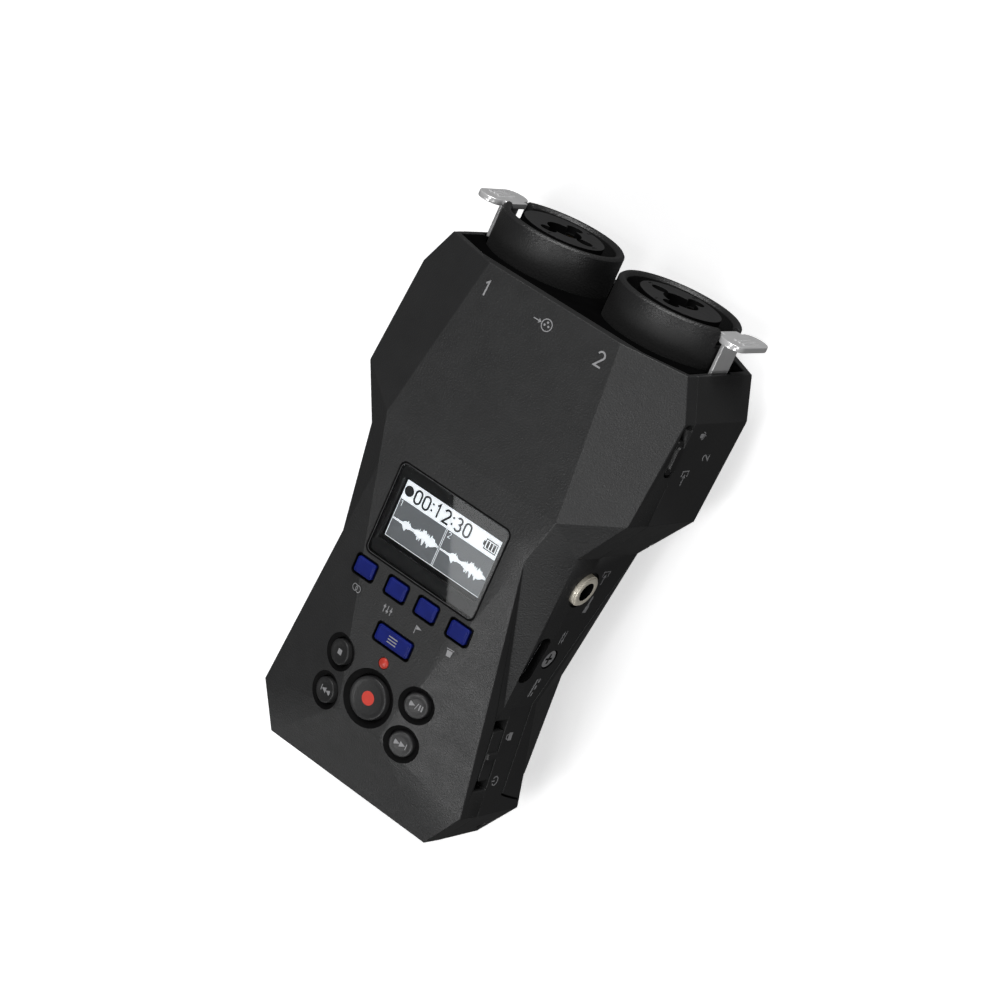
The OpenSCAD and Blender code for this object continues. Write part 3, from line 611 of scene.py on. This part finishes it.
# Gap round a cap, and the width and depth of the dish round the gap
KEY_GAP, DISH_WIDTH, DISH_DEPTH = 0.24, 0.91, 0.75
for key, (radius, reach) in ROUND_KEYS.items():
    # Black dished ring in the cover round each key, a lining of painted shade in the dish
    top = shifted(key_top(key), -0.05)
    inner = radius + KEY_GAP
    knee = max(inner, reach - 0.87)

    def dish(r):
        return 0.06 - DISH_DEPTH * (reach - r) / DISH_WIDTH

    ring = lathe(key + "_ring", [
        (inner, -1.25), (inner, dish(knee)), (knee + 0.01, dish(knee)), (reach - 0.03, 0.03),
        (reach + 0.06, 0.04), (reach + 0.1, -0.06), (knee + 0.14, dish(knee) - 0.2), (inner + 0.05, -1.25),
    ], top, black_print_and_shade)
    place(ring, "case", "black_plastic")
    # Cap with a foot inside the cover, a rounded rim and a shallow hollow
    cap = lathe(key + "_cap", [
        (0, -2.15), (radius + 0.8, -2.15), (radius + 0.8, -1.55), (radius, -1.55), (radius, 0.0),
        (radius - 0.05, 0.12), (radius - 0.18, 0.19), (radius - 0.45, 0.2), (radius - 0.85, 0.09),
        (radius - 1.2, 0.05), (0, 0.05),
    ], top, key_dark)
    place(cap, key, "dark_key", key)

# Black liners in the openings of the square keys, painted shade in the gaps round them
well = []
for key, width in [(key, 5) for key in SOFT_KEYS] + [("menu_key", 8.5)]:
    here = shifted(key_top(key), -0.3)
    opening, lining, sill = (rounded(-w / 2, -h / 2, w / 2, h / 2, r) for w, h, r in (
        (width + 0.16, 4.06, 0.78), (width - 0.1, 3.8, 0.65), (width - 0.7, 3.2, 0.45)))
    well += [(here, [frame_shape(opening, lining)], -1.2, 0.02),
             (here, [frame_shape(opening, sill)], -1.3, -1.15)]
place(marks("key_wells", well, black_print_and_shade), "case", "black_plastic")


# Signs on the round keys -----------------------------------------------------

def glyphs(name, key, shapes, material):
    piece = marks(name, [(key_top(key), shapes)], material)
    return place(piece, key, "dark_key")


def triangle(x, half, length):
    return fill((x, -half), (x + length, 0), (x, half))


STEP_GLYPH = [triangle(-1.35, 0.55, 1.1), triangle(-0.25, 0.55, 1.1), rect(0.95, -0.55, 1.1, 0.55)]
glyphs("stop_glyph", "stop_key", [rect(-0.5, -0.5, 0.5, 0.5)], print_grey)
glyphs("rewind_glyph", "rewind_key", moved(STEP_GLYPH, turn=180), print_grey)
glyphs("forward_glyph", "forward_key", STEP_GLYPH, print_grey)
glyphs("play_glyph", "play_key", [triangle(-1.4, 0.6, 1.15), ribbon([(-0.1, -0.65), (0.3, 0.65)], 0.14),
                                  rect(0.55, -0.55, 0.8, 0.55), rect(1.05, -0.55, 1.3, 0.55)], print_grey)
place(marks("record_dot", [(key_top("record_key"), [disc(0, 0, 1.3, 48)])], red), "record_key", "red_lens")

# Display ---------------------------------------------------------------------

# Plane of the window's top face, centred on the lit area
lcd_mid = mid("lcd_panel")
panel = surface("display_window", lcd_mid, (0, 0, -1), (0, 1, 0))
WINDOW_SHIFT = (mid("display_window").y - lcd_mid.y) / MM
WINDOW_HALF = (12.35, 8.75)
# Depth of the lit face below the window's top, and the thickness of what is drawn on it
LCD_TOP, LCD_INK = -1.93, 0.03


def window_outline(grow, corner):
    """The window's outline, grown by so much and with corners of that radius."""
    x, y = (half + grow for half in WINDOW_HALF)
    return rounded(-x, WINDOW_SHIFT - y, x, WINDOW_SHIFT + y, corner)


glass_outline = window_outline(0, 1.15)
display_glass = marks("display_glass", [(panel, [fill(*glass_outline)])], glass, -0.86, 0.0)
bevel = display_glass.modifiers.new("bevel", "BEVEL")
bevel.width = 0.12 * MM
bevel.segments = 2
place(display_glass, "case", "window", "display_window")

# Black border under the glass, and another on the display itself round its lit area
mask_hole = rounded(-11.5, -6.1, 11.5, 5.9, 0.25)
lit_outline = rounded(-10.93, -5.5, 10.93, 5.5, 0.12)
mask = marks("display_mask", [
    (panel, [frame_shape(glass_outline, mask_hole)], -0.98, -0.9),
    (panel, [frame_shape(rounded(-11.9, -6.9, 11.9, 6.6, 0.25), lit_outline)], LCD_TOP, LCD_TOP + 0.08),
], mask_black)
place(mask, "case", "window")

# Painted highlight along the glass edge, and a black sheet of painted shade in the gap round it
edge_line = [(panel, [frame_shape(glass_outline, window_outline(-0.1, 1.05))])]
place(marks("window_edge", edge_line, edge_shine, -0.1, 0.012), "case", "window")
gap = [(panel, [frame_shape(window_outline(0.37, 1.4), glass_outline)])]
place(marks("window_gap", gap, black_print_and_shade, -0.95, -0.12), "case", "black_plastic")


def mirrored(x, y, reach=0.45):
    """Point that far beyond a place on the window, on a line from the camera that is mirrored there."""
    spot = panel @ (Vector((x, y, 0)) * MM)
    normal = panel.col[2].to_3d()
    ray = (spot - camera.matrix_world.translation).normalized()
    return spot + (ray - 2 * ray.dot(normal) * normal) * reach


# A small card that the window mirrors over its right part, up to a slanting edge
CARD_W, CARD_H, CARD_RADIANCE = 0.05, 0.09, 1.2
edge_high, edge_low = mirrored(-0.5, 7.8), mirrored(5.8, -7.3)
edge_mid = (edge_high + edge_low) / 2
card_y = (edge_high - edge_low).normalized()
card_x = card_y.cross(edge_mid - panel.translation).normalized()
if card_x.dot(mirrored(12, 0) - edge_low) < 0:
    card_x, card_y = -card_x, -card_y
card_z = card_x.cross(card_y).normalized()
card_data = bpy.data.lights.new("window_card", "AREA")
card_data.shape = "RECTANGLE"
card_data.size, card_data.size_y = CARD_W, CARD_H
card_data.energy = CARD_RADIANCE * math.pi * CARD_W * CARD_H
link("window_card", card_data).matrix_world = (
    Matrix.Translation(edge_mid + card_x * CARD_W / 2)
    @ Matrix((card_x, card_y, card_z)).transposed().to_4x4())

# Two grey panels under a bright header with a dot, a time and a battery
SPLIT, BOTTOM = 1.85, -5.38
PANELS = ((-10.8, -0.2), (0.2, 10.8))
grey = [rect(x0, BOTTOM, x1, SPLIT) for x0, x1 in PANELS] + [rect(-0.09, BOTTOM, 0.09, SPLIT)]
place(marks("lcd_panels", [(panel, grey)], lcd_grey, LCD_TOP, LCD_TOP + LCD_INK), "case", "lcd")
battery_icon = [ribbon([(0, -0.9), (0, 0.9), (2.5, 0.9), (2.5, -0.9)], 0.18, True),
                rect(-0.45, -0.4, -0.1, 0.4)] + [rect(x, -0.65, x + 0.48, 0.65) for x in (0.32, 1.02, 1.72)]
header = ([disc(-9.8, 3.72, 0.98)] + moved(digits("00:12:30", 2.65, 0.24, 1.25), -2.0, 3.65)
          + moved(battery_icon, 7.9, 3.6))
place(marks("lcd_header", [(panel, header)], lcd_dark, LCD_TOP, LCD_TOP + LCD_INK), "case", "lcd")

WAVE_STEPS = 58


def wave(x0, x1, y, seed):
    """A jagged band round y, like recorded sound: quiet, a burst, a pause, then louder."""
    draw = random.Random(seed)
    rows = []
    for i in range(WAVE_STEPS + 1):
        t = i / WAVE_STEPS
        level = 0.14 + 0.95 * math.exp(-((t - 0.3) / 0.07) ** 2) + 1.25 * math.exp(-((t - 0.72) / 0.2) ** 4)
        x = x0 + (x1 - x0) * t
        above = Vector((x, y + 0.08 + level * draw.uniform(0.25, 1.0)))
        below = Vector((x, y - 0.08 - level * draw.uniform(0.25, 1.0)))
        rows.append((above, below))
    return ("ribbon", rows, False)


waves = [wave(x0 + 0.1, x1 - 0.1, -1.9, 3) for x0, x1 in PANELS]
for number, (x0, _), dx in zip("12", PANELS, (0.6, 0.7)):
    waves += moved(digits(number, 1.15, 0.14), x0 + dx, 1.15)
lcd_waves = marks("lcd_waves", [(panel, waves)], backlight, LCD_TOP + LCD_INK, LCD_TOP + 2 * LCD_INK)
place(lcd_waves, "case", "lcd")

# Marks on the front ----------------------------------------------------------

sleeve_icon = [circle(0, 0, 1.05, 0.17), disc(-0.42, -0.1, 0.2), disc(0.42, -0.1, 0.2), disc(0, 0.5, 0.2)]
arrow_in = [ribbon([(-2.9, 0), (-1.5, 0)], 0.17), fill((-1.75, -0.42), (-1.2, 0), (-1.75, 0.42))]
case_marks = [
    (on_front(-12.8, 40.7), digits("1", 2.9, 0.19)),
    (on_front(12.5, 40.7), digits("2", 2.9, 0.19)),
    (on_front(-0.2, 40.8), moved(sleeve_icon + arrow_in, 0.9, 0)),
]
# Two circles, faders, a flag and a bin under the four soft keys, and three bars on the menu key
two_rings = [circle(-0.42, 0, 0.62, 0.13), circle(0.42, 0, 0.62, 0.13)]
faders = [s for x, y in ((-0.75, 0.3), (0, -0.35), (0.75, 0.1))
          for s in (ribbon([(x, -0.75), (x, y - 0.2)], 0.13), rect(x - 0.24, y - 0.16, x + 0.24, y + 0.16),
                    ribbon([(x, y + 0.2), (x, 0.75)], 0.13))]
flag = [ribbon([(-0.5, -0.8), (-0.5, 0.8)], 0.15), fill((-0.36, 0.78), (0.72, 0.42), (-0.36, 0.05))]
bin_icon = [fill((-0.55, 0.35), (-0.42, -0.8), (0.42, -0.8), (0.55, 0.35)),
            ribbon([(-0.72, 0.6), (0.72, 0.6)], 0.16)]
for key, icon in zip(SOFT_KEYS, (two_rings, faders, flag, bin_icon)):
    case_marks.append((on_front(mid(key).x / MM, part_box(key)[0].y / MM - 1.7), icon))
place(marks("case_marks", case_marks, print_grey), "case", "front_shell")
bars = [rect(-1.0, y - 0.1, 1.0, y + 0.1) for y in (-0.55, 0, 0.55)]
place(marks("menu_mark", [(key_top("menu_key"), bars)], print_grey), "menu_key", "blue_key")


# Marks on the sides ----------------------------------------------------------

def on_side(side, y, z):
    """Frame on the rear cover's side wall, 1 for the right and -1 for the left, read with the front up."""
    return surface("rear_cover", (side * 20 * MM, y * MM, z * MM), (-side, 0, 0), (0, 0, 1))


plug = [rect(-2.1, -0.55, -0.6, 0.55), rect(-0.6, -0.24, 0.9, 0.24),
        fill((0.9, -0.34), (1.5, 0), (0.9, 0.34))]
into = [ribbon([(-1.6, 0), (0.2, 0)], 0.17), fill((-0.1, -0.5), (0.6, 0), (-0.1, 0.5)),
        ribbon([(0.1, 0.95), (1.2, 0.95), (1.2, -0.95), (0.1, -0.95)], 0.17)]
swap = [ribbon([(-1.4, 0.35), (0.6, 0.35)], 0.16), fill((0.5, -0.02), (1.3, 0.35), (0.5, 0.72)),
        ribbon([(-0.6, -0.45), (1.4, -0.45)], 0.16), fill((-0.5, -0.82), (-1.3, -0.45), (-0.5, -0.08))]
direct = [rect(-1.9, 0.2, 1.9, 0.6)] + [rect(x - 0.42, -0.6, x + 0.42, -0.2) for x in (-1.48, 0, 1.48)]
padlock = [rect(-0.75, -0.9, 0.75, 0.2),
           ribbon([(-0.45, 0.15)] + arc(0, 0.45, 0.45, 180, 0, 8) + [(0.45, 0.15)], 0.18)]
power = [ribbon(arc(0, 0, 0.85, 125, 415, 18), 0.2), ribbon([(0, 0.15), (0, 1.1)], 0.2)]
mic = [fill(*arc(0, 0.45, 0.42, 0, 180, 8), *arc(0, -0.1, 0.42, 180, 360, 8)),
       ribbon(arc(0, 0, 0.75, 180, 360, 10), 0.15), ribbon([(0, -0.75), (0, -1.2)], 0.15)]
headphones = [ribbon(arc(0, 0, 0.95, 0, 180, 14), 0.17), rect(-1.15, -0.7, -0.7, 0.15),
              rect(0.7, -0.7, 1.15, 0.15)]
card = [ribbon([(-0.8, -1), (0.8, -1), (0.8, 0.6), (0.4, 1), (-0.8, 1)], 0.16, True)]
minus = [rect(-0.7, -0.09, 0.7, 0.09)]
plus = minus + [rect(-0.09, -0.7, 0.09, 0.7)]
side_marks = [
    (on_side(1, -1.4, 20.0), plug), (on_side(1, 4.0, 19.9), into), (on_side(1, -8.6, 22.2), swap),
    (on_side(1, -19.4, 22.0), direct), (on_side(1, -29.0, 23.6), padlock), (on_side(1, -37.4, 23.6), power),
    (on_side(-1, -13.4, 19.9), headphones), (on_side(-1, 0.9, 19.6), card),
    (on_side(-1, -24.4, 22.6), plus), (on_side(-1, -29.6, 22.6), minus),
]
for side, number in ((-1, "1"), (1, "2")):
    side_marks += [(on_side(side, 30.8, 16.6), digits(number, 2.2, 0.2)),
                   (on_side(side, 35.2, 21.3), mic), (on_side(side, 27.2, 21.3), into)]
place(marks("side_marks", side_marks, print_grey), "case", "rear_shell")

# Dark cross in the sunk screw, painted shade of its recess
screw_face = surface("side_screw", mid("side_screw"), (-1, 0, 0), (0, 0, 1))
cross = [rect(-1.05, -0.21, 1.05, 0.21), rect(-0.21, -1.05, 0.21, 1.05)]
place(marks("screw_cross", [(screw_face, cross)], black_print_and_shade, 0.0, 0.38), "case", "screw_steel")


# Marks at the connector end --------------------------------------------------

def on_end(node, point):
    """Frame on the face of a node that looks to the connector end."""
    return surface(node, point, (0, -1, 0), (0, 0, 1))


# Numbers by the contact holes, as (number, distance from the middle, angle), and ridges on the levers
CONTACT_NUMBERS = (("1", 6.7, 100), ("2", 6.7, -100), ("3", 6.75, 180))
RIDGE = rect(-0.22, -2.6, 0.22, 2.6)
RIDGES_X = (26.6, 27.5, 28.4)
contact_marks = []
for i, side in ((1, -1), (2, 1)):
    middle = mid(f"xlr_insert_{i}")
    for number, radius, angle in CONTACT_NUMBERS:
        a = math.radians(angle)
        spot = middle + Vector((side * radius * math.cos(a), 0, radius * math.sin(a))) * MM
        contact_marks.append((on_end(f"xlr_insert_{i}", spot), digits(number, 1.1, 0.2)))
    lever = f"release_lever_{i}"
    ridges = [(on_end(lever, (side * x * MM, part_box(lever)[1].y, middle.z)), [RIDGE]) for x in RIDGES_X]
    place(marks(f"lever_ridges_{i}", ridges, chrome, -0.05, 0.14), lever, "lever_chrome")
place(marks("contact_marks", contact_marks, black_print_and_shade), "case", "insert_plastic")


# Springs and the tripod thread, as wire wound on a helix ---------------------

# Steps in a turn, and sides of the wire
COIL_STEPS, WIRE_SIDES = 24, 8


def coil(name, start, along, length_mm, radii_mm, turns, wire_mm, finish):
    """A round wire wound from start along an axis, while its radius runs from one value to the other."""
    axis = Vector(along)
    side = axis.orthogonal().normalized()
    up = axis.cross(side)
    count = round(turns * COIL_STEPS)

    def out(k):
        a = 2 * math.pi * k / COIL_STEPS
        return side * math.cos(a) + up * math.sin(a)

    def centre(k):
        t = k / count
        radius = radii_mm[0] + (radii_mm[1] - radii_mm[0]) * t
        return start + (axis * length_mm * t + out(k) * radius) * MM

    bm = bmesh.new()
    rows = []
    for k in range(count + 1):
        forward = (centre(k + 1) - centre(k - 1)).normalized()
        across = forward.cross(out(k)).normalized()
        rows.append([
            bm.verts.new(centre(k) + (out(k) * math.cos(b) + across * math.sin(b)) * wire_mm / 2 * MM)
            for b in (2 * math.pi * i / WIRE_SIDES for i in range(WIRE_SIDES))])
    for a, b in zip(rows, rows[1:]):
        for i in range(WIRE_SIDES):
            bm.faces.new((a[i - 1], a[i], b[i], b[i - 1]))
    bm.faces.new(rows[0])
    bm.faces.new(rows[-1][::-1])
    for face in bm.faces:
        face.smooth = len(face.verts) == 4
    return from_bmesh(name, bm, finish.material)


# Lever springs, wound in place of the CAD springs
for i in (1, 2):
    node = f"lever_spring_{i}"
    low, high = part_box(node)
    foot = Vector((mid(node).x, low.y, mid(node).z))
    spring = coil(node + "_coil", foot + Vector((0, 0.2, 0)) * MM, (0, 1, 0), (high.y - low.y) / MM - 0.4,
                  (1.2, 1.2), 7, 0.4, steel)
    place(spring, "case", "spring_steel", node)
    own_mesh(spring)

# Cone springs at the minus ends of the cells
low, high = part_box("battery_springs")
for i, end, along in ((1, low, 1), (2, high, -1)):
    cell = mid(f"battery_cell_{i}")
    spot = Vector((cell.x, end.y + along * 0.26 * MM, cell.z))
    spring = coil(f"battery_spring_{i}", spot, (0, along, 0), 0.68, (2.6, 1.5), 2.5, 0.4, steel)
    place(spring, "case", "spring_steel", *(["battery_springs"] if i == 1 else []))

tripod = mid("tripod_insert")
thread_start = Vector((tripod.x, tripod.y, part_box("tripod_insert")[0].z + 0.4 * MM))
thread = coil("tripod_thread", thread_start, (0, 0, 1), 4.2, (2.5, 2.5), 3.3, 0.3, brass)
place(thread, "case", "insert_brass")

# Materials of the CAD nodes that stay ----------------------------------------

DULL, WRAP, COPPER = (0.45, 0.45, 0.46), (0.02, 0.021, 0.023), (0.5, 0.22, 0.07)
CELL_BANDS = ((0, DULL), (0.02, WRAP), (0.72, COPPER), (0.97, DULL))


def cell_finish(name, minus_mm, plus_mm):
    return Finish(name, DULL, 0.35, Metallic=0.4).smear(2, 0.05).bands_along_y(minus_mm, plus_mm, CELL_BANDS)


# The cells lie head to tail
cell_1, cell_2 = ([v.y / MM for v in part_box(f"battery_cell_{i}")] for i in (1, 2))
KEPT = {
    steel: ("door_hinge_pin", "tact_switches", "input_switch_1", "input_switch_2", "power_switch",
            "volume_switch", "card_socket", "side_screw", "board_screws", "contact_plates"),
    black: ("lcd_holder", "line_in_jack", "headphone_jack"),
    board: ("main_board", "input_board"),
    gold_painted_shade: ("xlr_contacts_1", "xlr_contacts_2"),
    backlight: ("lcd_panel",),
    lens_red: ("record_light",),
    brass: ("tripod_insert",),
    dark_steel_and_shade: ("case_screws",),
    cone: ("speaker",),
    cell_finish("cell_wrap", cell_1[0], cell_1[1]): ("battery_cell_1",),
    cell_finish("cell_wrap_turned", cell_2[1], cell_2[0]): ("battery_cell_2",),
}
for finish, kept in KEPT.items():
    for node in kept:
        NODES[node].data.materials.clear()
        NODES[node].data.materials.append(finish.material)

# Floor -----------------------------------------------------------------------

bm = bmesh.new()
bmesh.ops.create_grid(bm, x_segments=8, y_segments=8, size=4)
bmesh.ops.translate(bm, verts=bm.verts, vec=(0, 0, cad_box[0][2] - 0.2 * MM))
floor_white = Finish("floor", (0.86, 0.86, 0.865), 0.9, Emission_Strength=0.55, Emission_Color=(1, 1, 1, 1))
floor = from_bmesh("floor", bm, floor_white.mottle(120, 0.01).material)
# The floor takes shadows, but throws no light back on the object
floor.visible_diffuse = floor.visible_glossy = False
